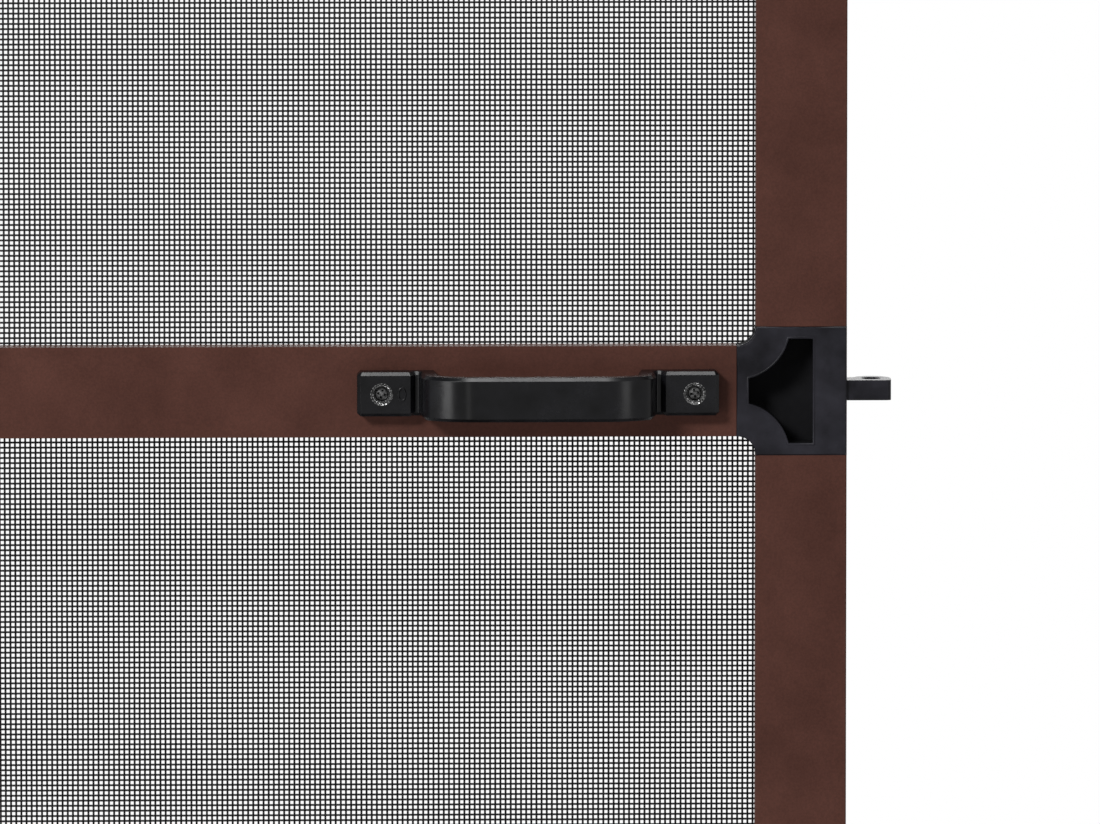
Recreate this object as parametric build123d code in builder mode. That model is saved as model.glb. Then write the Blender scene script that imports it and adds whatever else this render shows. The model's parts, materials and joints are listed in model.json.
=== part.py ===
from build123d import *
import os

os.makedirs("parts", exist_ok=True)

# Size of the leaf over its profiles
leaf_width = 1000.0
leaf_height = 2150.0

# Extruded aluminium profile: width seen from the front, depth, wall and the rise of its crowned face
profile_width = 28.0
profile_depth = 15.0
profile_wall = 1.2
face_crown = 0.5
profile_edge_radius = 0.5

# Groove at the back of a profile's inner edge, where a cord holds the mesh over a thin lip
lip = 1.2
groove_width = 3.8
mesh_depth = 8.0
mesh_thickness = 0.45
mesh_openings_across = 5
mesh_openings_up = 5
mesh_strip_width = 12.0
cord_depth = 3.0
groove_fit = 0.05

# Moulded connectors: rounding towards the mesh, pocket in the front and legs inside the profiles
corner_radius = 5.9
outer_corner_radius = 2.5
pocket_depth = 13.0
pocket_outer_wall = 10.1
pocket_end_wall = 3.4
pocket_ring_wall = 5.2
connector_front_wall = 2.4
connector_edge_chamfer = 0.4
leg_length = 35.0
leg_fit = 0.1
leg_lead_in = 1.5
leg_slot_width = 3.0
leg_slot_depth = 2.5

# Hinge lug moulded on a connector: a vertical eye with a flat front, on a narrower neck
lug_reach = 7.7
lug_outer_radius = 6.0
lug_hole_radius = 3.0
lug_height = 6.2
lug_neck_width = 8.6
lug_front_radius = 1.5

# Wall bracket: flat plate with two screw holes, knuckle under the lug and a pin through the eye
plate_width = 30.0
plate_height = 46.0
plate_thickness = 3.0
plate_corner_radius = 4.0
plate_hole_radius = 2.1
plate_hole_spacing = 30.0
knuckle_radius = 6.0
knuckle_height = 8.0
gusset_reach = 6.0
pin_fit = 0.05
pin_overrun = 1.5
pin_chamfer = 0.6
lug_gap = 0.3
wall_gap = 8.5

# Bow handle: one on each face of the middle rail, next to the connector away from the hinges
handle_length = 111.0
handle_height = 13.6
handle_projection = 24.0
handle_end_distance = 39.5
foot_length = 17.4
foot_thickness = 7.0
grip_thickness = 5.5
root_groove_width = 1.8
root_groove_depth = 2.5
leg_slope = 0.8
bow_shoulder_width = 9.5
bow_shoulder_drop = 6.0
bow_flat_radius = 22.0
bow_leg_radius = 8.0
handle_edge_chamfer = 1.0

# Handle screws, sunk in the feet
screw_spacing = 96.0
screw_recess_radius = 3.4
screw_recess_depth = 4.0
screw_head_radius = 3.2
screw_head_height = 2.2
screw_radius = 1.75
screw_hole_fit = 0.05
screw_reach = 5.0

# Places worked out from the sizes above. The origin is the middle of the lowest bracket's mounting face.
hinge_x = plate_width / 2
back_y = -wall_gap
front_y = back_y - profile_depth
middle_y = front_y + profile_depth / 2
leaf_left = hinge_x + lug_reach
leaf_right = leaf_left + leaf_width
lowest_lug_z = knuckle_height / 2 + lug_gap + lug_height / 2
leaf_bottom = lowest_lug_z - profile_width / 2
leaf_top = leaf_bottom + leaf_height
rail_z = (leaf_bottom + leaf_top) / 2
face_inside = face_crown + profile_wall
groove_inner = profile_width - lip
groove_outer = groove_inner - groove_width
connector_arm = profile_width + corner_radius
tee_half_height = profile_width / 2 + corner_radius
backwards = (0, 1, 0)
sides = (("left", leaf_left, 1), ("right", leaf_right, -1))
levels = (("bottom", leaf_bottom, 1), ("top", leaf_top, -1))
hinge_side = "left"
handle_side = "right"


def front_plane(corner_x, corner_z, inward_x, inward_z, depth):
    """Plane at a depth behind the front, with its axes pointing inwards from an outer edge."""
    return Plane(
        origin=(corner_x, front_y + depth, corner_z),
        x_dir=(inward_x, 0, 0),
        z_dir=(0, -inward_x * inward_z, 0),
    )


def keep(piece, name):
    """Label a finished piece and write it."""
    piece.part.label = name
    export_step(piece.part, f"parts/{name}.step")


# Section of the outer profiles: x from the outer edge inwards, y from the front backwards
with BuildSketch() as edge_section:
    with BuildLine():
        ThreePointArc((0, face_crown), (profile_width / 2, 0), (profile_width, face_crown))
        Polyline(
            (profile_width, face_crown),
            (profile_width, mesh_depth),
            (groove_inner, mesh_depth),
            (groove_inner, face_inside),
            (groove_outer, face_inside),
            (groove_outer, profile_depth),
            (0, profile_depth),
            (0, face_crown),
        )
    make_face()
    rounded = [v for v in edge_section.vertices() if v.X < lip or v.Y == face_crown]
    fillet(rounded, profile_edge_radius)
    with Locations((groove_outer / 2, (face_inside + profile_depth - profile_wall) / 2)):
        Rectangle(
            groove_outer - 2 * profile_wall,
            profile_depth - profile_wall - face_inside,
            mode=Mode.SUBTRACT,
        )

# Section of the middle rail, with a groove along both edges
with BuildSketch() as rail_section:
    with BuildLine():
        ThreePointArc((0, face_crown), (profile_width / 2, 0), (profile_width, face_crown))
        Polyline(
            (profile_width, face_crown),
            (profile_width, mesh_depth),
            (groove_inner, mesh_depth),
            (groove_inner, face_inside),
            (groove_outer, face_inside),
            (groove_outer, profile_depth),
            (profile_width - groove_outer, profile_depth),
            (profile_width - groove_outer, face_inside),
            (lip, face_inside),
            (lip, mesh_depth),
            (0, mesh_depth),
            (0, face_crown),
        )
    make_face()
    fillet([v for v in rail_section.vertices() if v.Y == face_crown], profile_edge_radius)
    with Locations((profile_width / 2, (face_inside + profile_depth - profile_wall) / 2)):
        Rectangle(
            2 * groove_outer - profile_width - 2 * profile_wall,
            profile_depth - profile_wall - face_inside,
            mode=Mode.SUBTRACT,
        )

# Stiles, each in two lengths with the middle connector between them
lower_run = (leaf_bottom + connector_arm, rail_z - tee_half_height)
upper_run = (rail_z + tee_half_height, leaf_top - connector_arm)
for side, edge_x, inward in sides:
    for level, (start_z, end_z) in (("lower", lower_run), ("upper", upper_run)):
        with BuildPart() as stile:
            with BuildSketch(
                Plane(
                    origin=(edge_x, front_y, start_z if inward > 0 else end_z),
                    x_dir=(inward, 0, 0),
                    z_dir=(0, 0, inward),
                )
            ):
                add(edge_section.sketch)
            extrude(amount=end_z - start_z)
        keep(stile, f"stile_{side}_{level}")

# Top and bottom rails
rail_start = leaf_left + connector_arm
rail_length = leaf_width - 2 * connector_arm
for level, edge_z, inward in levels:
    with BuildPart() as rail:
        with BuildSketch(
            Plane(
                origin=(leaf_right - connector_arm if inward > 0 else rail_start, front_y, edge_z),
                x_dir=(0, 0, inward),
                z_dir=(-inward, 0, 0),
            )
        ):
            add(edge_section.sketch)
        extrude(amount=rail_length)
    keep(rail, f"rail_{level}")

# Middle rail, with the holes that the handle screws cut on both faces
handle_x = leaf_right - handle_end_distance - handle_length / 2
screw_places = [(handle_x - screw_spacing / 2, rail_z), (handle_x + screw_spacing / 2, rail_z)]
with BuildPart() as rail_middle:
    with BuildSketch(
        Plane(
            origin=(leaf_right - connector_arm, front_y, rail_z - profile_width / 2),
            x_dir=(0, 0, 1),
            z_dir=(-1, 0, 0),
        )
    ):
        add(rail_section.sketch)
    extrude(amount=rail_length)
    with BuildSketch(Plane.XZ.offset(-back_y)):
        with Locations(screw_places):
            Circle(screw_radius + screw_hole_fit)
    extrude(amount=profile_depth, mode=Mode.SUBTRACT)
keep(rail_middle, "rail_middle")


def add_leg(start, width_from, width_to, along_x, plane_args):
    """One plug-in leg: a chamfered bar with a slot down each face, in the chamber of a profile."""
    middle = (width_from + width_to) / 2
    width = width_to - width_from
    reach = leg_length + connector_edge_chamfer
    root = start - connector_edge_chamfer
    place = (root + reach / 2, middle) if along_x else (middle, root + reach / 2)
    size = (reach, width) if along_x else (width, reach)
    slot_place = (start + leg_length / 2, middle) if along_x else (middle, start + leg_length / 2)
    slot_size = (leg_length, leg_slot_width) if along_x else (leg_slot_width, leg_length)
    thickness = profile_depth - profile_wall - face_inside - 2 * leg_fit
    with BuildPart() as leg:
        with BuildSketch(front_plane(*plane_args, face_inside + leg_fit)):
            with Locations(place):
                Rectangle(*size)
        extrude(amount=thickness, dir=backwards)
        end = start + leg_length
        tip_axis = Axis.X if along_x else Axis.Z
        inward = plane_args[2] if along_x else plane_args[3]
        tip = leg.faces().filter_by(tip_axis).sort_by(tip_axis)[-1 if inward > 0 else 0]
        chamfer(tip.edges(), leg_lead_in)
        for depth in (face_inside + leg_fit, profile_depth - profile_wall - leg_fit - leg_slot_depth):
            with BuildSketch(front_plane(*plane_args, depth)):
                with Locations(slot_place):
                    Rectangle(*slot_size)
            extrude(amount=leg_slot_depth, dir=backwards, mode=Mode.SUBTRACT)
    return leg.part


def lug_part(edge_x, inward_x, centre_z):
    """Hinge lug: an eye at half the depth of the leaf, with one flat front from the end to the neck."""
    eye_x = edge_x - inward_x * lug_reach
    root_x = edge_x + inward_x * profile_wall
    with BuildPart() as lug:
        with BuildSketch(Plane.XY.offset(centre_z - lug_height / 2)) as outline:
            with Locations((eye_x, middle_y - lug_outer_radius / 2)):
                Rectangle(2 * lug_outer_radius, lug_outer_radius)
            fillet(
                outline.vertices().group_by(Axis.Y)[0].sort_by(Axis.X)[0 if inward_x > 0 else -1],
                lug_front_radius,
            )
            with Locations((eye_x, middle_y)):
                Circle(lug_outer_radius)
            with Locations(((eye_x + root_x) / 2, middle_y - lug_outer_radius + lug_neck_width / 2)):
                Rectangle(abs(root_x - eye_x), lug_neck_width)
            with Locations((eye_x, middle_y)):
                Circle(lug_hole_radius, mode=Mode.SUBTRACT)
        extrude(amount=lug_height)
    return lug.part


def ring_cuts(plane_args, centres):
    """Groove and lip that lead the mesh cord round the inner corners, cut from the back."""
    with BuildPart() as cuts:
        with BuildSketch(front_plane(*plane_args, connector_front_wall)):
            with Locations(centres):
                Circle(corner_radius + lip + groove_width)
            with Locations(centres):
                Circle(corner_radius + lip, mode=Mode.SUBTRACT)
        extrude(amount=profile_depth - connector_front_wall, dir=backwards)
        with BuildSketch(front_plane(*plane_args, mesh_depth)):
            with Locations(centres):
                Circle(corner_radius + lip)
        extrude(amount=profile_depth - mesh_depth, dir=backwards)
    return cuts.part


pocket_ring = corner_radius + lip + groove_width + pocket_ring_wall
chamber_from = profile_wall + leg_fit
chamber_to = groove_outer - profile_wall - leg_fit
rail_chamber_from = profile_width - groove_outer + profile_wall + leg_fit

# Corner connectors, those on the hinge side with a lug
for side, edge_x, inward_x in sides:
    for level, edge_z, inward_z in levels:
        place = (edge_x, edge_z, inward_x, inward_z)
        inner_corner = [(connector_arm, connector_arm)]
        with BuildPart() as corner:
            with BuildSketch(front_plane(*place, 0)):
                with Locations((connector_arm / 2, connector_arm / 2)):
                    Rectangle(connector_arm, connector_arm)
                with Locations(inner_corner):
                    Circle(corner_radius, mode=Mode.SUBTRACT)
            extrude(amount=profile_depth, dir=backwards)
            outer_edge = [
                e
                for e in corner.edges().filter_by(Axis.Y)
                if abs(e.center().X - edge_x) < lip and abs(e.center().Z - edge_z) < lip
            ]
            fillet(outer_edge, outer_corner_radius)
            chamfer(corner.faces().sort_by(Axis.Y)[0].edges(), connector_edge_chamfer)
            with BuildSketch(front_plane(*place, 0)):
                pocket_size = connector_arm - pocket_outer_wall - pocket_end_wall
                with Locations((pocket_outer_wall + pocket_size / 2,) * 2):
                    Rectangle(pocket_size, pocket_size)
                with Locations(inner_corner):
                    Circle(pocket_ring, mode=Mode.SUBTRACT)
            extrude(amount=pocket_depth, dir=backwards, mode=Mode.SUBTRACT)
            add(ring_cuts(place, inner_corner), mode=Mode.SUBTRACT)
            add(add_leg(connector_arm, chamber_from, chamber_to, True, place))
            add(add_leg(connector_arm, chamber_from, chamber_to, False, place))
            if side == hinge_side:
                add(lug_part(edge_x, inward_x, edge_z + inward_z * profile_width / 2))
        keep(corner, f"corner_{side}_{level}")

# Middle connectors, both with a lug
for side, edge_x, inward_x in sides:
    place = (edge_x, rail_z, inward_x, 1)
    inner_corners = [(connector_arm, tee_half_height), (connector_arm, -tee_half_height)]
    with BuildPart() as tee:
        with BuildSketch(front_plane(*place, 0)):
            with Locations((connector_arm / 2, 0)):
                Rectangle(connector_arm, 2 * tee_half_height)
            with Locations(inner_corners):
                Circle(corner_radius, mode=Mode.SUBTRACT)
        extrude(amount=profile_depth, dir=backwards)
        chamfer(tee.faces().sort_by(Axis.Y)[0].edges(), connector_edge_chamfer)
        with BuildSketch(front_plane(*place, 0)):
            pocket_width = connector_arm - pocket_outer_wall - pocket_end_wall
            with Locations((pocket_outer_wall + pocket_width / 2, 0)):
                Rectangle(pocket_width, 2 * (tee_half_height - pocket_end_wall))
            with Locations(inner_corners):
                Circle(pocket_ring, mode=Mode.SUBTRACT)
        extrude(amount=pocket_depth, dir=backwards, mode=Mode.SUBTRACT)
        add(ring_cuts(place, inner_corners), mode=Mode.SUBTRACT)
        add(add_leg(tee_half_height, chamber_from, chamber_to, False, place))
        down = (edge_x, rail_z, inward_x, -1)
        add(add_leg(tee_half_height, chamber_from, chamber_to, False, down))
        half_leg = profile_width / 2 - rail_chamber_from
        add(add_leg(connector_arm, -half_leg, half_leg, True, place))
        add(lug_part(edge_x, inward_x, rail_z))
        if side == handle_side:
            with BuildSketch(Plane.XZ.offset(-back_y)):
                with Locations(screw_places[-1]):
                    Circle(screw_radius + screw_hole_fit)
            extrude(amount=profile_depth, mode=Mode.SUBTRACT)
    keep(tee, f"tee_{side}")

# Mesh panels as plain grids of strips with folded margins, and the cords that hold them in the grooves
middle_x = (leaf_left + leaf_right) / 2
opening_width = leaf_width - 2 * profile_width
opening_height = (leaf_height - 3 * profile_width) / 2
lower_opening_z = leaf_bottom + profile_width + opening_height / 2
upper_opening_z = leaf_top - profile_width - opening_height / 2


def opening_sketch(centre_z, depth, grow):
    """Rounded outline of a mesh opening, grown on all sides, at a depth behind the front."""
    with BuildSketch(Plane.XZ.offset(-(front_y + depth))) as shape:
        with Locations((middle_x, centre_z)):
            RectangleRounded(
                opening_width + 2 * grow,
                opening_height + 2 * grow,
                corner_radius + grow,
            )
    return shape.sketch


for level, centre_z in (("lower", lower_opening_z), ("upper", upper_opening_z)):
    fold_inside = lip + groove_fit
    fold_outside = fold_inside + mesh_thickness
    with BuildPart() as mesh:
        extrude(
            opening_sketch(centre_z, cord_depth, fold_outside),
            amount=mesh_depth - cord_depth + mesh_thickness,
            dir=backwards,
        )
        extrude(
            opening_sketch(centre_z, cord_depth, fold_inside),
            amount=mesh_depth - cord_depth,
            dir=backwards,
            mode=Mode.SUBTRACT,
        )
        with BuildSketch(Plane.XZ.offset(-(front_y + mesh_depth))):
            pitch_x = opening_width / mesh_openings_across
            pitch_z = opening_height / mesh_openings_up
            with Locations((middle_x, centre_z)):
                with GridLocations(pitch_x, pitch_z, mesh_openings_across, mesh_openings_up):
                    Rectangle(pitch_x - mesh_strip_width, pitch_z - mesh_strip_width)
        extrude(amount=mesh_thickness, dir=backwards, mode=Mode.SUBTRACT)
    keep(mesh, f"mesh_{level}")
    with BuildPart() as cord:
        extrude(
            opening_sketch(centre_z, cord_depth, lip + groove_width - groove_fit),
            amount=mesh_depth - cord_depth,
            dir=backwards,
        )
        extrude(
            opening_sketch(centre_z, cord_depth, fold_outside + groove_fit),
            amount=mesh_depth - cord_depth,
            dir=backwards,
            mode=Mode.SUBTRACT,
        )
    keep(cord, f"mesh_cord_{level}")

# Bow handles, drawn from above: sketch y runs from the rail face outwards as negative values
foot_end = handle_length / 2 - foot_length
leg_outside = foot_end - root_groove_width
leg_middle = leg_outside - grip_thickness / 2
root_thickness = foot_thickness - root_groove_depth
shoulder_x = leg_outside - leg_slope
shoulder_y = bow_shoulder_drop - handle_projection
leg_end = leg_outside + leg_slope * 2 * foot_thickness / (-shoulder_y - foot_thickness)
grip_end = shoulder_x - bow_shoulder_width
grip_middle = handle_projection - grip_thickness / 2
for face, rail_face_y, outward in (("front", front_y, -1), ("back", back_y, 1)):
    lowest = Plane(
        origin=(handle_x, rail_face_y, rail_z - handle_height / 2),
        x_dir=(-outward, 0, 0),
        z_dir=(0, 0, 1),
    )
    facing = Plane(
        origin=(handle_x, rail_face_y, rail_z),
        x_dir=(-outward, 0, 0),
        z_dir=(0, outward, 0),
    )
    with BuildPart() as handle:
        with BuildSketch(lowest) as section:
            with BuildLine():
                FilletPolyline(
                    (-leg_end, foot_thickness),
                    (-shoulder_x, shoulder_y),
                    (-grip_end, -handle_projection),
                    (grip_end, -handle_projection),
                    (shoulder_x, shoulder_y),
                    (leg_end, foot_thickness),
                    radius=[bow_leg_radius, bow_flat_radius, bow_flat_radius, bow_leg_radius],
                )
                Line((leg_end, foot_thickness), (-leg_end, foot_thickness))
            make_face()
            offset(amount=-grip_thickness, mode=Mode.SUBTRACT)
            with Locations((0, -foot_thickness / 2)):
                with GridLocations(handle_length - foot_length, 0, 2, 1):
                    Rectangle(foot_length, foot_thickness)
            with Locations((0, -root_thickness / 2)):
                with GridLocations(foot_end + leg_middle, 0, 2, 1):
                    Rectangle(foot_end - leg_middle, root_thickness)
            with Locations((0, foot_thickness / 2)):
                Rectangle(handle_length, foot_thickness, mode=Mode.SUBTRACT)
        extrude(amount=handle_height)
        proud = []
        for edge in handle.edges():
            reach = abs(edge.center().Y - rail_face_y)
            on_foot = abs(edge.center().X - handle_x) > foot_end - handle_edge_chamfer
            if reach > grip_middle or on_foot and reach > root_thickness:
                proud.append(edge)
        chamfer(proud, handle_edge_chamfer)
        with BuildSketch(facing.offset(foot_thickness - screw_recess_depth)):
            with GridLocations(screw_spacing, 0, 2, 1):
                Circle(screw_recess_radius)
        extrude(amount=screw_recess_depth, mode=Mode.SUBTRACT)
        with BuildSketch(facing):
            with GridLocations(screw_spacing, 0, 2, 1):
                Circle(screw_radius + screw_hole_fit)
        extrude(amount=foot_thickness, mode=Mode.SUBTRACT)
    keep(handle, f"handle_{face}")

    # Cheese-head screws in the two feet, reaching into the rail
    for side, screw_x in (("left", -screw_spacing / 2), ("right", screw_spacing / 2)):
        seat = foot_thickness - screw_recess_depth
        head_plane = Plane(
            origin=(handle_x + screw_x, rail_face_y + outward * seat, rail_z),
            x_dir=(-outward, 0, 0),
            z_dir=(0, outward, 0),
        )
        with BuildPart() as screw:
            with BuildSketch(head_plane):
                Circle(screw_head_radius)
            extrude(amount=screw_head_height)
            with BuildSketch(head_plane):
                Circle(screw_radius)
            extrude(amount=-(seat + screw_reach))
        keep(screw, f"handle_screw_{face}_{side}")

# Wall brackets, one under each lug of the hinge side
lug_heights = (
    ("bottom", leaf_bottom + profile_width / 2),
    ("middle", rail_z),
    ("top", leaf_top - profile_width / 2),
)
for level, lug_z in lug_heights:
    knuckle_top = lug_z - lug_height / 2 - lug_gap
    knuckle_z = knuckle_top - knuckle_height / 2
    with BuildPart() as bracket:
        with BuildSketch(Plane.XZ.offset(plate_thickness)):
            with Locations((0, knuckle_z)):
                RectangleRounded(plate_width, plate_height, plate_corner_radius)
                with GridLocations(0, plate_hole_spacing, 1, 2):
                    Circle(plate_hole_radius, mode=Mode.SUBTRACT)
        extrude(amount=plate_thickness, dir=backwards)
        with BuildSketch(Plane.XY.offset(knuckle_top - knuckle_height)):
            with Locations((hinge_x, middle_y)):
                Circle(knuckle_radius)
            with BuildLine():
                Polyline(
                    (hinge_x - knuckle_radius, middle_y),
                    (hinge_x - knuckle_radius - gusset_reach, -plate_thickness / 2),
                    (hinge_x, -plate_thickness / 2),
                    (hinge_x, middle_y),
                    (hinge_x - knuckle_radius, middle_y),
                )
            make_face()
        extrude(amount=knuckle_height)
        with BuildSketch(Plane.XY.offset(knuckle_top)):
            with Locations((hinge_x, middle_y)):
                Circle(lug_hole_radius - pin_fit)
        extrude(amount=lug_gap + lug_height + pin_overrun)
        pin_end = bracket.faces(Select.LAST).sort_by(Axis.Z)[-1]
        chamfer(pin_end.edges(), pin_chamfer)
    keep(bracket, f"bracket_{level}")
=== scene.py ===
import json
import math
import random

import bmesh
import bpy
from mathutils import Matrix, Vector


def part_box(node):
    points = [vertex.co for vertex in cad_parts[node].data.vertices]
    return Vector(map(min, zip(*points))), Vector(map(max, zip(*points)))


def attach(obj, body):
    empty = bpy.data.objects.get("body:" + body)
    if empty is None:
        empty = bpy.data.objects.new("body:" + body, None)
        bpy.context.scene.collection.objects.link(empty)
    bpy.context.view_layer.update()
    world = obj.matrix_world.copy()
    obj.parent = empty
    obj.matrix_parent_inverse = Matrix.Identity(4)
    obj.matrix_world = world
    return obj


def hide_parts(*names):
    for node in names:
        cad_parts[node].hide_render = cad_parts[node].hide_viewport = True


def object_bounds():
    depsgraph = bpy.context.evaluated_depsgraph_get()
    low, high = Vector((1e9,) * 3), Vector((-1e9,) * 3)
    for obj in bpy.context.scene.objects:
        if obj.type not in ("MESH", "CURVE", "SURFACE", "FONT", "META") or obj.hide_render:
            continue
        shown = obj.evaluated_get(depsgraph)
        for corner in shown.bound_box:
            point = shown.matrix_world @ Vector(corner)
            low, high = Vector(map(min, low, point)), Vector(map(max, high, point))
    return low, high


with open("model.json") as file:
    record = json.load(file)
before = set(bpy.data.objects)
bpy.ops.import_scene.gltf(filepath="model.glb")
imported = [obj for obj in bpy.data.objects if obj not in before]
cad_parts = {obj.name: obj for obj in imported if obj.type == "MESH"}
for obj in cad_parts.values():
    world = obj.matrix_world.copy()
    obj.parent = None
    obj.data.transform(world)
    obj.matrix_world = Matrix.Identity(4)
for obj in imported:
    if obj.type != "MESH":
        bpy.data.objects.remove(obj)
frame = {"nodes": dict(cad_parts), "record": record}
cad_low, cad_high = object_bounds()
nodes = frame["nodes"]

# Places read from the frame
leaf_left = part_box("stile_left_lower")[0].x
leaf_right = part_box("stile_right_lower")[1].x
leaf_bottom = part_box("corner_right_bottom")[0].z
leaf_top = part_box("corner_right_top")[1].z
front_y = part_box("tee_right")[0].y
back_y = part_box("tee_right")[1].y
rail_low, rail_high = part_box("rail_middle")
rail_z = (rail_low.z + rail_high.z) / 2

# The photograph's frame and its scale at the front of the door
photo_width_px = 1100
photo_height_px = 824
px_per_metre = 3257
stile_edge_px = 847.1
rail_centre_px = 391.6

# Camera
camera_azimuth = math.radians(-1.5)
camera_elevation = math.radians(6.5)
camera_distance = 5.0
target = Vector(
    (
        leaf_right - (stile_edge_px - photo_width_px / 2) / px_per_metre,
        front_y,
        rail_z - (photo_height_px / 2 - rail_centre_px) / px_per_metre,
    )
)


def direction_to(azimuth, elevation):
    """Unit vector from the door's front towards an azimuth to the right and an elevation."""
    return Vector(
        (
            math.sin(azimuth) * math.cos(elevation),
            -math.cos(azimuth) * math.cos(elevation),
            math.sin(elevation),
        )
    )


towards_camera = direction_to(camera_azimuth, camera_elevation)
camera_data = bpy.data.cameras.new("camera")
camera_data.sensor_width = 36
camera_data.lens = camera_data.sensor_width * camera_distance * px_per_metre / photo_width_px
camera_data.clip_end = 100
camera = bpy.data.objects.new("camera", camera_data)
camera.location = target + towards_camera * camera_distance
camera.rotation_euler = (-towards_camera).to_track_quat("-Z", "Y").to_euler()
bpy.context.scene.collection.objects.link(camera)
bpy.context.scene.camera = camera
bpy.context.scene.view_settings.view_transform = "Standard"


# Materials
def start_material(name, colour, roughness, specular, metallic=0.0):
    """A material whose shader has these plain values; returns it with its node tree and shader."""
    material = bpy.data.materials.new(name)
    material.use_nodes = True
    tree = material.node_tree
    shader = tree.nodes["Principled BSDF"]
    shader.inputs["Base Color"].default_value = (*colour, 1)
    shader.inputs["Roughness"].default_value = roughness
    shader.inputs["Specular IOR Level"].default_value = specular
    shader.inputs["Metallic"].default_value = metallic
    return material, tree, shader


def noise(tree, scale, detail, roughness):
    """Noise in the object's own coordinates, scale in features per metre."""
    coords = tree.nodes.new("ShaderNodeTexCoord")
    texture = tree.nodes.new("ShaderNodeTexNoise")
    texture.inputs["Scale"].default_value = scale
    texture.inputs["Detail"].default_value = detail
    texture.inputs["Roughness"].default_value = roughness
    tree.links.new(coords.outputs["Object"], texture.inputs["Vector"])
    return texture.outputs["Fac"]


def spread(tree, value, low_in, high_in, low_out, high_out):
    """Map a range of a value to another range."""
    mapped = tree.nodes.new("ShaderNodeMapRange")
    for socket, number in (
        ("From Min", low_in),
        ("From Max", high_in),
        ("To Min", low_out),
        ("To Max", high_out),
    ):
        mapped.inputs[socket].default_value = number
    tree.links.new(value, mapped.inputs["Value"])
    return mapped.outputs["Result"]


def combine(tree, operation, first, second):
    """Result of an operation on two values."""
    node = tree.nodes.new("ShaderNodeMath")
    node.operation = operation
    tree.links.new(first, node.inputs[0])
    tree.links.new(second, node.inputs[1])
    return node.outputs["Value"]


def between(tree, value, low, high, softness):
    """1 where a value lies between two limits, fading to 0 over a softness."""
    rising = spread(tree, value, low, low + softness, 0, 1)
    falling = spread(tree, value, high - softness, high, 1, 0)
    return combine(tree, "MULTIPLY", rising, falling)


def blend_colours(tree, factor, first, second):
    """Colour that goes from the first to the second with the factor; each is a triple or a socket."""
    mix = tree.nodes.new("ShaderNodeMix")
    mix.data_type = "RGBA"
    tree.links.new(factor, mix.inputs["Factor"])
    for socket, colour in (("A", first), ("B", second)):
        place = next(s for s in mix.inputs if s.name == socket and s.type == "RGBA")
        if isinstance(colour, tuple):
            place.default_value = (*colour, 1)
        else:
            tree.links.new(colour, place)
    return next(s for s in mix.outputs if s.type == "RGBA")


def colour_shader(tree, shader, factor, first, second):
    """Give the shader a base colour between two colours."""
    tree.links.new(blend_colours(tree, factor, first, second), shader.inputs["Base Color"])


def bump(tree, shader, heights, normal=None):
    """Chain of bumps on the shader's normal; heights are (socket, strength, distance in metres)."""
    for height, strength, distance in heights:
        node = tree.nodes.new("ShaderNodeBump")
        node.inputs["Strength"].default_value = strength
        node.inputs["Distance"].default_value = distance
        tree.links.new(height, node.inputs["Height"])
        if normal:
            tree.links.new(normal, node.inputs["Normal"])
        normal = node.outputs["Normal"]
    tree.links.new(normal, shader.inputs["Normal"])


def soft_edges(tree, radius):
    """Normal that rounds the edges of a piece by a radius in metres."""
    node = tree.nodes.new("ShaderNodeBevel")
    node.samples = 6
    node.inputs["Radius"].default_value = radius
    return node.outputs["Normal"]


def powder_coated_aluminium():
    """Dark brown powder coat: soft blotches, fine speckle and the fine orange peel of the coat."""
    material, tree, shader = start_material(
        "brown_powder_coat", (0.058, 0.0243, 0.0184), roughness=0.4, specular=0.04, metallic=0.05
    )
    blotches = spread(tree, noise(tree, 38, 5, 0.65), 0.35, 0.65, 0, 1)
    speckle = spread(tree, noise(tree, 1400, 2, 0.6), 0.35, 0.65, 0, 1)
    dark = blend_colours(tree, speckle, (0.044, 0.0184, 0.0139), (0.053, 0.0215, 0.0161))
    light = blend_colours(tree, speckle, (0.059, 0.0249, 0.0189), (0.071, 0.0290, 0.0217))
    colour_shader(tree, shader, blotches, dark, light)
    tree.links.new(spread(tree, blotches, 0, 1, 0.33, 0.41), shader.inputs["Roughness"])
    orange_peel = (noise(tree, 900, 3, 0.55), 0.12, 0.0002)
    bump(tree, shader, [orange_peel], soft_edges(tree, 0.0003))
    return material


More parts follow.
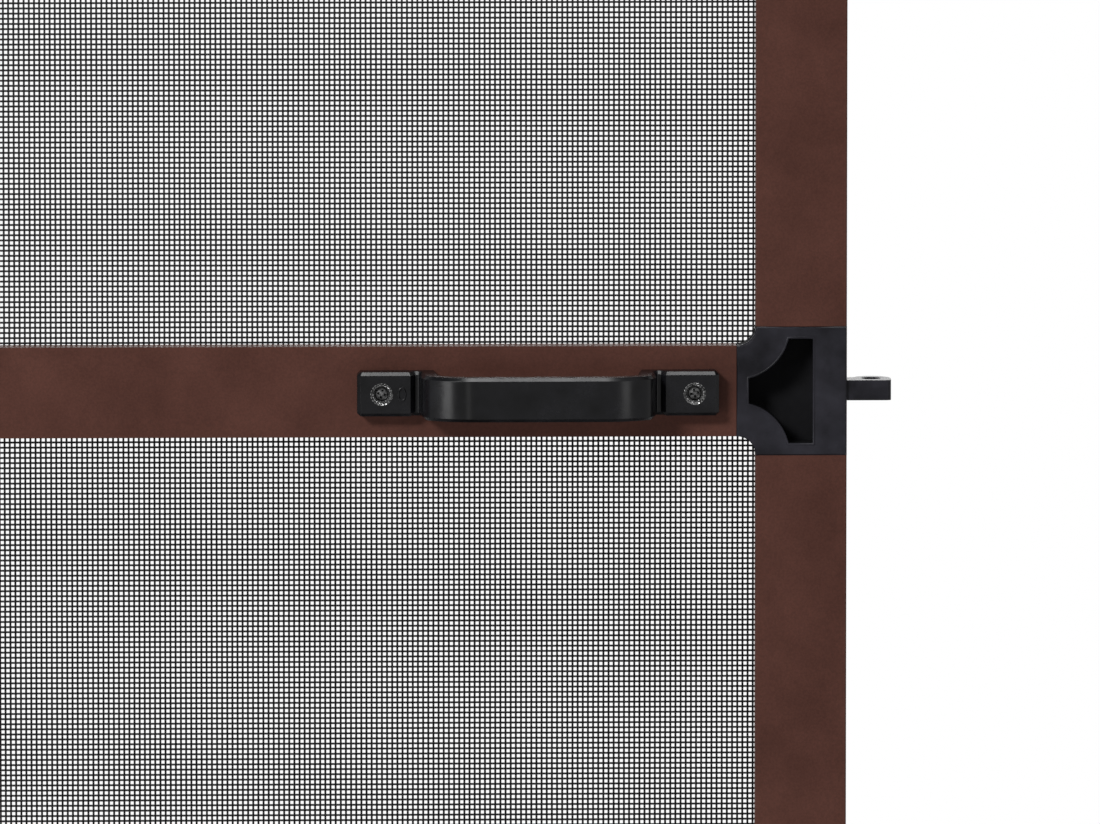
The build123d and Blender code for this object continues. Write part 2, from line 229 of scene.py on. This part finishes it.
def moulded_plastic():
    """Black moulded plastic with a soft cloudy sheen; inside the pockets it is duller, and its colour is
    darkened there as painted shade.
    """
    material, tree, shader = start_material(
        "black_moulded_plastic", (0.011, 0.011, 0.014), roughness=0.34, specular=0.09
    )
    coords = tree.nodes.new("ShaderNodeTexCoord")
    place = tree.nodes.new("ShaderNodeSeparateXYZ")
    tree.links.new(coords.outputs["Object"], place.inputs["Vector"])
    deep = between(tree, place.outputs["Y"], front_y + 0.0015, back_y - 0.001, 0.001)
    on_leaf = between(tree, place.outputs["X"], leaf_left, leaf_right, 0.0005)
    pocket = combine(tree, "MULTIPLY", deep, on_leaf)
    clouds = spread(tree, noise(tree, 55, 5, 0.62), 0.32, 0.68, 0, 1)
    face_colour = blend_colours(tree, clouds, (0.0030, 0.0029, 0.0040), (0.0165, 0.0160, 0.0208))
    # Inside the pockets the colour is darker: painted shade of the recesses, not the plastic's own colour;
    # the higher roughness there is the pockets' own duller surface.
    pocket_painted_shade_colour = blend_colours(tree, clouds, (0.0015, 0.0015, 0.0018), (0.0060, 0.0060, 0.0070))
    colour_shader(tree, shader, pocket, face_colour, pocket_painted_shade_colour)
    sheen = spread(tree, clouds, 0, 1, 0.28, 0.44)
    dull = spread(tree, pocket, 0, 1, 0, 0.8)
    tree.links.new(combine(tree, "MAXIMUM", sheen, dull), shader.inputs["Roughness"])
    waves = (noise(tree, 60, 3, 0.5), 0.12, 0.001)
    grain = (noise(tree, 700, 4, 0.6), 0.08, 0.0002)
    bump(tree, shader, [waves, grain], soft_edges(tree, 0.00035))
    return material


def glossy_plastic():
    """Black glossy plastic of the handles."""
    material, tree, shader = start_material(
        "black_glossy_plastic", (0.004, 0.004, 0.0045), roughness=0.22, specular=0.14
    )
    wear = spread(tree, noise(tree, 90, 5, 0.62), 0.32, 0.68, 0, 1)
    colour_shader(tree, shader, wear, (0.0010, 0.0010, 0.0012), (0.0050, 0.0050, 0.0062))
    tree.links.new(spread(tree, wear, 0, 1, 0.2, 0.3), shader.inputs["Roughness"])
    waves = (noise(tree, 80, 3, 0.5), 0.06, 0.001)
    grain = (noise(tree, 1200, 3, 0.5), 0.03, 0.0001)
    bump(tree, shader, [waves, grain], soft_edges(tree, 0.00012))
    return material


def stained_steel(name, darkest, lightest):
    """Dull steel with dark stains, between two greys."""
    middle = (darkest + lightest) / 2
    material, tree, shader = start_material(name, (middle,) * 3, roughness=0.32, specular=0.5, metallic=1.0)
    stain = spread(tree, noise(tree, 1400, 4, 0.6), 0.38, 0.62, 0, 1)
    colour_shader(tree, shader, stain, (darkest,) * 3, (lightest,) * 3)
    tree.links.new(spread(tree, stain, 0, 1, 0.45, 0.25), shader.inputs["Roughness"])
    bump(tree, shader, [(noise(tree, 3000, 2, 0.5), 0.12, 0.0001)])
    return material


def coated_thread():
    """Black coated glass-fibre thread of the mesh."""
    material, tree, shader = start_material(
        "black_coated_thread", (0.006, 0.006, 0.0065), roughness=0.5, specular=0.2
    )
    grain = spread(tree, noise(tree, 600, 2, 0.5), 0.3, 0.7, 0, 1)
    colour_shader(tree, shader, grain, (0.003, 0.003, 0.0035), (0.011, 0.011, 0.012))
    bump(tree, shader, [(noise(tree, 3000, 1, 0.5), 0.2, 0.0001)])
    return material


def black_rubber():
    """Matt black rubber of the cords in the grooves."""
    material, tree, shader = start_material("black_rubber", (0.012,) * 3, roughness=0.7, specular=0.25)
    bloom = spread(tree, noise(tree, 150, 4, 0.6), 0.3, 0.7, 0, 1)
    colour_shader(tree, shader, bloom, (0.008,) * 3, (0.019,) * 3)
    bump(tree, shader, [(noise(tree, 1800, 2, 0.5), 0.25, 0.0002)])
    return material


finishes = {
    "profile_aluminium": powder_coated_aluminium(),
    "connector_plastic": moulded_plastic(),
    "handle_plastic": glossy_plastic(),
    "screw_steel": stained_steel("darkened_steel", 0.02, 0.11),
    "insect_mesh": coated_thread(),
    "mesh_cord": black_rubber(),
}
for row in frame["record"]["subparts"]:
    node = nodes[row["node"]]
    node.data.materials.clear()
    node.data.materials.append(finishes[row["material_slot"]])


# Making pieces
def add_object(name, mesh):
    """Put a mesh in the scene as a piece of that name."""
    piece = bpy.data.objects.new(name, mesh)
    bpy.context.scene.collection.objects.link(piece)
    return piece


def finish_piece(piece, body, slot, *replaced, finish=None):
    """Give a new piece its body, its slot's or its own material and the nodes that it stands for."""
    piece.data.materials.append(finish or finishes[slot])
    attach(piece, body)
    if replaced:
        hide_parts(*replaced)


def smooth_apart_from_edges(mesh, sharp_degrees):
    """Smooth shading, apart from edges sharper than an angle."""
    for polygon in mesh.polygons:
        polygon.use_smooth = True
    mesh.set_sharp_from_angle(angle=math.radians(sharp_degrees))


def finish_mesh(name, made, sharp_degrees):
    """Object of a mesh under construction, smooth apart from its sharp edges."""
    bmesh.ops.recalc_face_normals(made, faces=made.faces)
    mesh = bpy.data.meshes.new(name)
    made.to_mesh(mesh)
    made.free()
    smooth_apart_from_edges(mesh, sharp_degrees)
    return add_object(name, mesh)


def angles_round(count):
    """That many equal steps of a full turn."""
    return [math.tau * step / count for step in range(count)]


def ring_of(made, points):
    """Vertices at these points."""
    return [made.verts.new(point) for point in points]


def join_rings(made, first, second):
    """Band of faces between two closed rings of as many vertices."""
    for step in range(len(first)):
        after = (step + 1) % len(first)
        made.faces.new((first[step], first[after], second[after], second[step]))


def stacked_solid(name, outlines, sharp_degrees):
    """Solid through closed outlines of as many points, with a flat face at each end."""
    made = bmesh.new()
    rings = [ring_of(made, outline) for outline in outlines]
    for first, second in zip(rings, rings[1:]):
        join_rings(made, first, second)
    made.faces.new(rings[0])
    made.faces.new(rings[-1])
    return finish_mesh(name, made, sharp_degrees)


def endless_solid(name, outlines, sharp_degrees):
    """Solid through closed outlines of as many points, the last joined to the first."""
    made = bmesh.new()
    rings = [ring_of(made, outline) for outline in outlines]
    for index, ring in enumerate(rings):
        join_rings(made, ring, rings[(index + 1) % len(rings)])
    return finish_mesh(name, made, sharp_degrees)


def cut_out(piece, tools, sharp_degrees):
    """Cut the tools out of a piece and delete them."""
    for tool in tools:
        cut = piece.modifiers.new("cut", "BOOLEAN")
        cut.operation = "DIFFERENCE"
        cut.solver = "EXACT"
        cut.object = tool
    bpy.context.view_layer.update()
    graph = bpy.context.evaluated_depsgraph_get()
    mesh = bpy.data.meshes.new_from_object(piece.evaluated_get(graph))
    piece.modifiers.clear()
    piece.data = mesh
    smooth_apart_from_edges(mesh, sharp_degrees)
    for tool in tools:
        bpy.data.objects.remove(tool)


# Mesh panels: straight threads both ways, turned down over the lips into the grooves
thread_pitch = 0.0015875
thread_width = 0.00064
thread_depth = 0.0004
thread_sides = 6


def thread(made, path):
    """One thread along a path of points, each with its sideways and its outward direction."""
    rings = []
    for point, sideways, outwards in path:
        ring = []
        for angle in angles_round(thread_sides):
            across = sideways * (math.cos(angle) * thread_width / 2)
            ring.append(point + (across + outwards * (math.sin(angle) * thread_depth / 2)))
        rings.append(ring_of(made, ring))
    for first, second in zip(rings, rings[1:]):
        join_rings(made, first, second)
    made.faces.new(list(reversed(rings[0])))
    made.faces.new(rings[-1])


def mesh_panel(level):
    """One panel of woven threads in place of its plain sheet."""
    name = f"woven_mesh_{level}"
    low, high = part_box(f"mesh_{level}")
    plane_y = high.y - thread_depth
    fold = thread_depth / 2
    deeper = Vector((0, 1, 0))
    made = bmesh.new()
    for across, along in ((0, 2), (2, 0)):
        sideways, ahead = Vector((0, 0, 0)), Vector((0, 0, 0))
        sideways[across] = 1
        ahead[along] = 1
        spaces = int((high[across] - low[across] - 2 * fold) / thread_pitch)
        first = (low[across] + high[across] - spaces * thread_pitch) / 2
        for index in range(spaces + 1):
            path = []
            for y, reach, outwards in (
                (low.y, low[along] + fold, -ahead),
                (plane_y, low[along] + fold, (deeper - ahead).normalized()),
                (plane_y, high[along] - fold, (deeper + ahead).normalized()),
                (low.y, high[along] - fold, ahead),
            ):
                point = Vector((0, y, 0))
                point[across] = first + index * thread_pitch
                point[along] = reach
                path.append((point, sideways, outwards))
            thread(made, path)
    mesh = bpy.data.meshes.new(name)
    made.to_mesh(mesh)
    made.free()
    for polygon in mesh.polygons:
        polygon.use_smooth = True
    panel = add_object(name, mesh)
    finish_piece(panel, "leaf", "insect_mesh", f"mesh_{level}")


for level in ("lower", "upper"):
    mesh_panel(level)

# Cords in the grooves behind the mesh margins: round rubber with ribs along its length
cord_width = 0.0032
cord_corner_radius = 0.0093
cord_ribs = 10
cord_rib_depth = 0.00022
cord_corner_steps = 8
cord_sharp_degrees = 40


def ribbed_cord(level):
    """One cord, laid round a mesh panel in its groove."""
    low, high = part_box(f"mesh_cord_{level}")
    radius = cord_width / 2
    y = high.y - radius
    corners = (
        (high.x - radius, high.z - radius, 0),
        (low.x + radius, high.z - radius, 90),
        (low.x + radius, low.z + radius, 180),
        (high.x - radius, low.z + radius, 270),
    )
    rings = []
    for corner_x, corner_z, start_degrees in corners:
        turn = math.radians(start_degrees)
        inwards_x = -math.copysign(1, math.cos(turn + math.pi / 4))
        inwards_z = -math.copysign(1, math.sin(turn + math.pi / 4))
        middle_x = corner_x + inwards_x * cord_corner_radius
        middle_z = corner_z + inwards_z * cord_corner_radius
        for step in range(cord_corner_steps + 1):
            angle = turn + math.pi / 2 * step / cord_corner_steps
            out = Vector((math.cos(angle), 0, math.sin(angle)))
            centre = Vector((middle_x, y, middle_z)) + out * cord_corner_radius
            ring = []
            for side, around in enumerate(angles_round(2 * cord_ribs)):
                reach = radius - (cord_rib_depth if side % 2 else 0)
                ring.append(centre + (out * math.cos(around) + Vector((0, math.sin(around), 0))) * reach)
            rings.append(ring)
    cord = endless_solid(f"ribbed_cord_{level}", rings, cord_sharp_degrees)
    finish_piece(cord, "leaf", "mesh_cord", f"mesh_cord_{level}")


for level in ("lower", "upper"):
    ribbed_cord(level)


# Outlines drawn as flat points
def arc(centre, first, last, steps):
    """Points on the arc about a centre from a first to a last point."""
    start, end = first - centre, last - centre
    return [centre + start.slerp(end, step / steps) * start.length for step in range(steps + 1)]


def rounded(points, bends):
    """Path through points, with an arc of a radius and a number of steps at each inner point."""
    path = [points[0]]
    for before, corner, after, (radius, steps) in zip(points, points[1:], points[2:], bends):
        to_before = (before - corner).normalized()
        to_after = (after - corner).normalized()
        half = to_before.angle(to_after) / 2
        centre = corner + (to_before + to_after).normalized() * (radius / math.sin(half))
        setback = radius / math.tan(half)
        path += arc(centre, corner + to_before * setback, corner + to_after * setback, steps)
    return path + [points[-1]]


def to_the_right(first, second):
    """Direction at right angles to the line from the first point to the second."""
    along = (second - first).normalized()
    return Vector((along.y, -along.x))


def beside(corner, before, after, distance):
    """Corner moved off both of its lines, whose sideways directions are given."""
    middle = (before + after).normalized()
    return corner + middle * (distance / middle.dot(before))


def parallel(points, distance):
    """Corners of the line that runs beside this one, to the right of its direction."""
    normals = [to_the_right(*pair) for pair in zip(points, points[1:])]
    moved = [points[0] + normals[0] * distance]
    for corner, before, after in zip(points[1:], normals, normals[1:]):
        moved.append(beside(corner, before, after, distance))
    return moved + [points[-1] + normals[-1] * distance]


def shrunk(outline, distance):
    """Corners of the closed outline that runs beside this one, to the right of its direction."""
    moved = []
    for index, corner in enumerate(outline):
        before = to_the_right(outline[index - 1], corner)
        after = to_the_right(corner, outline[(index + 1) % len(outline)])
        moved.append(beside(corner, before, after, distance))
    return moved


# Bow handles: feet with chamfered edges, a groove beside each, and a smoothly bent bow.
# Their outline is drawn from above: the first number runs along the rail, the second outwards.
foot_length = 0.0174
foot_thickness = 0.007
grip_thickness = 0.0055
root_groove_width = 0.0018
root_groove_depth = 0.0025
leg_slope = 0.0008
shoulder_width = 0.0095
shoulder_drop = 0.006
bow_flat_radius = 0.022
bow_leg_radius = 0.008
bow_steps = 14
foot_chamfer = 0.00105
groove_radius = 0.0005
groove_steps = 4
edge_chamfer = 0.001
recess_radius = 0.0034
recess_depth = 0.004
recess_floor = foot_thickness - recess_depth
round_steps = 48
handle_sharp_degrees = 28
hole_sharp_degrees = 35


def handle_outline(length, projection):
    """Closed outline of a handle: outer line from foot to foot, then the finger side back."""
    foot_end = length / 2 - foot_length
    leg_outside = foot_end - root_groove_width
    root = foot_thickness - root_groove_depth
    shoulder_x = leg_outside - leg_slope
    shoulder_y = projection - shoulder_drop
    grip_end = shoulder_x - shoulder_width
    half_outer = [
        Vector((-length / 2, 0)),
        Vector((-length / 2, foot_thickness)),
        Vector((-foot_end, foot_thickness)),
        Vector((-foot_end, root)),
        Vector((-leg_outside, root)),
        Vector((-shoulder_x, shoulder_y)),
        Vector((-grip_end, projection)),
    ]
    bends = [
        (foot_chamfer, 1),
        (foot_chamfer, 1),
        (groove_radius, groove_steps),
        (groove_radius, groove_steps),
        (bow_leg_radius, bow_steps),
        (bow_flat_radius, bow_steps),
    ]
    outer = half_outer + [Vector((-point.x, point.y)) for point in reversed(half_outer)]
    leg_line = (Vector((-shoulder_x, shoulder_y)) - Vector((-leg_outside, root))).normalized()
    leg_foot = Vector((-leg_outside, root)) - leg_line * (root / leg_line.y)
    bow = [leg_foot, *half_outer[-2:]]
    bow += [Vector((-point.x, point.y)) for point in reversed(bow)]
    inner = parallel(bow, grip_thickness)
    inner[0].y = 0
    inner[-1].y = 0
    inner_bends = [(radius - grip_thickness, steps) for radius, steps in bends[-2:]]
    finger_side = rounded(inner, inner_bends + inner_bends[::-1])
    return rounded(outer, bends + bends[::-1]) + finger_side[::-1]


# Oval mould mark: a fine raised ring on one foot
mark_offset = 0.0418
mark_half_width = 0.0011
mark_half_height = 0.0019
mark_line_radius = 0.0003
mark_line_rise = 0.8 * mark_line_radius
mark_steps = 32
mark_sides = 8
mark_sharp_degrees = 50


def rail_face(face, outward):
    """Level of the rail's face that a handle stands on."""
    low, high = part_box(f"handle_{face}")
    return high.y if outward < 0 else low.y


def upright_circle(x, y, z, radius):
    """Points on a circle that faces the viewer."""
    return [
        Vector((x + radius * math.cos(angle), y, z + radius * math.sin(angle)))
        for angle in angles_round(round_steps)
    ]


def bow_handle(face, outward):
    """One handle on a face of the middle rail, with its recesses and its mould mark."""
    low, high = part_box(f"handle_{face}")
    middle_x = (low.x + high.x) / 2
    middle_z = (low.z + high.z) / 2
    seat_y = rail_face(face, outward)

    def place(along, out, up):
        return Vector((middle_x - outward * along, seat_y + outward * out, middle_z + up))

    half_height = (high.z - low.z) / 2
    straight = half_height - edge_chamfer
    outline = handle_outline(high.x - low.x, high.y - low.y)
    small = shrunk(outline, edge_chamfer)
    for corner, point in zip(outline, small):
        if corner.y == 0:
            point.y = 0
    levels = ((small, -half_height), (outline, -straight), (outline, straight), (small, half_height))
    layers = [[place(point.x, point.y, up) for point in layer] for layer, up in levels]
    handle = stacked_solid(f"bow_handle_{face}", layers, handle_sharp_degrees)
    recesses = []
    for side in ("left", "right"):
        screw_low, screw_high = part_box(f"handle_screw_{face}_{side}")
        screw_x = (screw_low.x + screw_high.x) / 2
        ends = [
            upright_circle(screw_x, seat_y + outward * out, middle_z, recess_radius)
            for out in (recess_floor, foot_thickness + edge_chamfer)
        ]
        recesses.append(stacked_solid("recess", ends, hole_sharp_degrees))
    cut_out(handle, recesses, handle_sharp_degrees)
    finish_piece(handle, "leaf", "handle_plastic", f"handle_{face}")

    rings = []
    for angle in angles_round(mark_steps):
        ring = []
        for around in angles_round(mark_sides):
            stretch = 1 + mark_line_radius * math.cos(around) / mark_half_width
            along = -mark_offset + mark_half_width * math.cos(angle) * stretch
            up = mark_half_height * math.sin(angle) * stretch
            ring.append(place(along, foot_thickness + mark_line_rise * math.sin(around), up))
        rings.append(ring)
    mark = endless_solid(f"mould_mark_{face}", rings, mark_sharp_degrees)
    finish_piece(mark, "leaf", "handle_plastic")


for face, outward in (("front", -1), ("back", 1)):
    bow_handle(face, outward)

# Pocket rims: the fine rounded lip where a connector's pocket meets its front. An outline's
# first number runs inwards from the leaf's edge, the second upwards from the connector's level.
pocket_from = 0.0101
pocket_to = 0.0305
tee_pocket_half_height = 0.0165
ring_centre = 0.0339
tee_ring_level = 0.0199
ring_radius = 0.0161
ring_steps = 14
rim_radius = 0.0004
rim_depth = 0.0002
rim_sides = 8
rim_sharp_degrees = 50


def pocket_rim(name, outline, edge_x, inwards, level, upwards):
    """Rounded lip along a closed pocket outline on the front of a connector."""
    loops = []
    for around in angles_round(rim_sides):
        y = front_y + rim_depth + rim_radius * math.sin(around)
        loops.append(
            [
                Vector((edge_x + inwards * spot.x, y, level + upwards * spot.y))
                for spot in shrunk(outline, rim_radius * math.cos(around))
            ]
        )
    rim = endless_solid(name, loops, rim_sharp_degrees)
    finish_piece(rim, "leaf", "connector_plastic")


ring_reach = math.sqrt(ring_radius**2 - (ring_centre - pocket_to) ** 2)
lower_arc = arc(
    Vector((ring_centre, -tee_ring_level)),
    Vector((ring_centre - ring_reach, -tee_pocket_half_height)),
    Vector((pocket_to, ring_reach - tee_ring_level)),
    ring_steps,
)
upper_arc = [Vector((point.x, -point.y)) for point in reversed(lower_arc)]
tee_pocket = [
    Vector((pocket_from, tee_pocket_half_height)),
    Vector((pocket_from, -tee_pocket_half_height)),
    *lower_arc,
    *upper_arc,
]
corner_arc = arc(
    Vector((ring_centre, ring_centre)),
    Vector((pocket_to, ring_centre - ring_reach)),
    Vector((ring_centre - ring_reach, pocket_to)),
    ring_steps,
)
corner_pocket = [
    Vector((pocket_from, pocket_to)),
    Vector((pocket_from, pocket_from)),
    Vector((pocket_to, pocket_from)),
    *corner_arc,
]
for side, edge_x, inwards in (("left", leaf_left, 1), ("right", leaf_right, -1)):
    pocket_rim(f"pocket_rim_tee_{side}", tee_pocket, edge_x, inwards, rail_z, 1)
    pocket_rim(f"pocket_rim_{side}_bottom", corner_pocket, edge_x, inwards, leaf_bottom, 1)
    pocket_rim(f"pocket_rim_{side}_top", corner_pocket, edge_x, inwards, leaf_top, -1)

# Handle screws: a domed head with a cross recess inside a toothed cup washer.
# The head's profile has shares of its radius and, downwards from its top, of its rise.
head_radius = 0.0023
head_rise = 0.0006
head_profile = ((0.45, 0), (0.8, 0.4), (1, 1.4))
shank_radius = 0.00175
shank_end = -0.005
cross_half_width = 0.00035
cross_half_length = 0.0015
cross_depth = 0.0011
cross_top_scale = 1.2
cross_bottom_scale = 0.5
washer_steel = stained_steel("worn_steel", 0.025, 0.26)
washer_teeth = 20
washer_tooth_height = 0.0001
washer_steps = 6 * washer_teeth
washer_twist = 0.03
washer_rough_share = 0.35
washer_rough_sideways = 0.5
washer_thickness = 0.0006
washer_sharp_degrees = 25
washer_profile = (
    (0.00345, 0.00000),
    (0.00330, 0.00012),
    (0.00292, -0.00026),
    (0.00284, -0.00070),
    (0.00264, -0.00070),
    (0.00256, -0.00046),
    (0.00216, -0.00088),
    (0.00208, -0.00140),
)


def handle_screw(face, side, outward, seed):
    """One screw with its washer, in a recess of a handle."""
    node = f"handle_screw_{face}_{side}"
    low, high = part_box(node)
    centre_x = (low.x + high.x) / 2
    centre_z = (low.z + high.z) / 2
    seat_y = rail_face(face, outward)
    head_top = seat_y - low.y if outward < 0 else high.y - seat_y
    chance = random.Random(seed)

    profile = [(head_radius * share, head_top - head_rise * drop) for share, drop in head_profile]
    profile += [(head_radius, recess_floor), (shank_radius, recess_floor), (shank_radius, shank_end)]
    rings = [upright_circle(centre_x, seat_y + outward * out, centre_z, radius) for radius, out in profile]
    screw = stacked_solid(f"cross_screw_{face}_{side}", rings, hole_sharp_degrees)
    turned = chance.uniform(0, math.pi / 2)
    tools = []
    for turn in (turned, turned + math.pi / 2):
        ends = []
        for out, scale in (
            (head_top + head_rise, cross_top_scale),
            (head_top - cross_depth, cross_bottom_scale),
        ):
            end = []
            for u, v in ((-1, -1), (1, -1), (1, 1), (-1, 1)):
                along, across = u * cross_half_length * scale, v * cross_half_width
                x = centre_x + along * math.cos(turn) - across * math.sin(turn)
                z = centre_z + along * math.sin(turn) + across * math.cos(turn)
                end.append(Vector((x, seat_y + outward * out, z)))
            ends.append(end)
        tools.append(stacked_solid("cross", ends, hole_sharp_degrees))
    cut_out(screw, tools, hole_sharp_degrees)
    finish_piece(screw, "leaf", "screw_steel", node)

    def place(radius, angle, out):
        x = centre_x + radius * math.cos(angle)
        return Vector((x, seat_y + outward * out, centre_z + radius * math.sin(angle)))

    jitter = [chance.uniform(-1, 1) for _ in range(washer_steps)]
    rings = []
    for index, (radius, rise) in enumerate(washer_profile):
        ring = []
        for step, angle in enumerate(angles_round(washer_steps)):
            tooth = washer_tooth_height * math.cos(washer_teeth * angle)
            rough = washer_tooth_height * washer_rough_share * jitter[(step + index) % washer_steps]
            out = foot_thickness + rise + tooth + rough
            ring.append(place(radius + rough * washer_rough_sideways, angle + index * washer_twist, out))
        rings.append(ring)
    for radius, rise in reversed(washer_profile):
        out = foot_thickness + rise - washer_thickness
        rings.append([place(radius, angle, out) for angle in angles_round(washer_steps)])
    washer = endless_solid(f"toothed_washer_{face}_{side}", rings, washer_sharp_degrees)
    finish_piece(washer, "leaf", "screw_steel", finish=washer_steel)


screws = (("front", "left", -1), ("front", "right", -1), ("back", "left", 1), ("back", "right", 1))
for seed, (face, side, outward) in enumerate(screws):
    handle_screw(face, side, outward, seed)

# Floor, which keeps shadows and turns into the white surroundings towards its rim
floor_level = cad_low.z - 0.01
floor_radius = 4.0
floor_fade_start = 1.7
floor_fade_end = 3.6
floor_segments = 96


def floor_material():
    """Pale floor that fades into a white glow."""
    material, tree, shader = start_material("pale_floor", (0.82,) * 3, roughness=0.9, specular=0.1)
    coords = tree.nodes.new("ShaderNodeTexCoord")
    distance = tree.nodes.new("ShaderNodeVectorMath")
    distance.operation = "LENGTH"
    tree.links.new(coords.outputs["Object"], distance.inputs[0])
    rim = spread(tree, distance.outputs["Value"], floor_fade_start, floor_fade_end, 0, 1)
    glow = tree.nodes.new("ShaderNodeEmission")
    mix = tree.nodes.new("ShaderNodeMixShader")
    output = tree.nodes["Material Output"]
    tree.links.new(rim, mix.inputs["Fac"])
    tree.links.new(shader.outputs["BSDF"], mix.inputs[1])
    tree.links.new(glow.outputs["Emission"], mix.inputs[2])
    tree.links.new(mix.outputs["Shader"], output.inputs["Surface"])
    return material


floor_shape = bmesh.new()
bmesh.ops.create_circle(floor_shape, cap_ends=True, segments=floor_segments, radius=floor_radius)
floor_mesh = bpy.data.meshes.new("floor")
floor_shape.to_mesh(floor_mesh)
floor_shape.free()
floor = add_object("floor", floor_mesh)
floor.location = ((leaf_left + leaf_right) / 2, (front_y + back_y) / 2, floor_level)
floor.data.materials.append(floor_material())

# World: white where the camera, a reflection or a transmission sees it, and a dim light elsewhere
ambient_level = 0.06
world = bpy.data.worlds.new("studio")
bpy.context.scene.world = world
world.use_nodes = True
tree = world.node_tree
background = tree.nodes["Background"]
background.inputs["Color"].default_value = (1, 1, 1, 1)
light_path = tree.nodes.new("ShaderNodeLightPath")
seen = light_path.outputs["Is Camera Ray"]
for name in ("Is Glossy Ray", "Is Transmission Ray"):
    seen = combine(tree, "MAXIMUM", seen, light_path.outputs[name])
tree.links.new(spread(tree, seen, 0, 1, ambient_level, 1), background.inputs["Strength"])


def lamp(name, azimuth, elevation, distance, width, height, power):
    """Soft lamp that looks at the middle of the door, with its angles in degrees."""
    data = bpy.data.lights.new(name, "AREA")
    data.shape = "RECTANGLE"
    data.size = width
    data.size_y = height
    data.energy = power
    direction = direction_to(math.radians(azimuth), math.radians(elevation))
    light = bpy.data.objects.new(name, data)
    light.location = Vector(((leaf_left + leaf_right) / 2, front_y, rail_z)) + direction * distance
    light.rotation_euler = (-direction).to_track_quat("-Z", "Y").to_euler()
    bpy.context.scene.collection.objects.link(light)


lamp("key_lamp", -24, 27, distance=3.5, width=0.9, height=0.6, power=138)
lamp("top_lamp", 45, 80, distance=3.0, width=1.0, height=0.6, power=36)
lamp("front_lamp", -4, -6, distance=4.0, width=0.4, height=0.4, power=1.8)
lamp("left_lamp", -40, -6, distance=3.0, width=0.9, height=0.35, power=15)
lamp("right_lamp", 44, -6, distance=3.0, width=0.6, height=0.3, power=4)
lamp("back_lamp", 160, 30, distance=3.5, width=2.0, height=1.6, power=70)
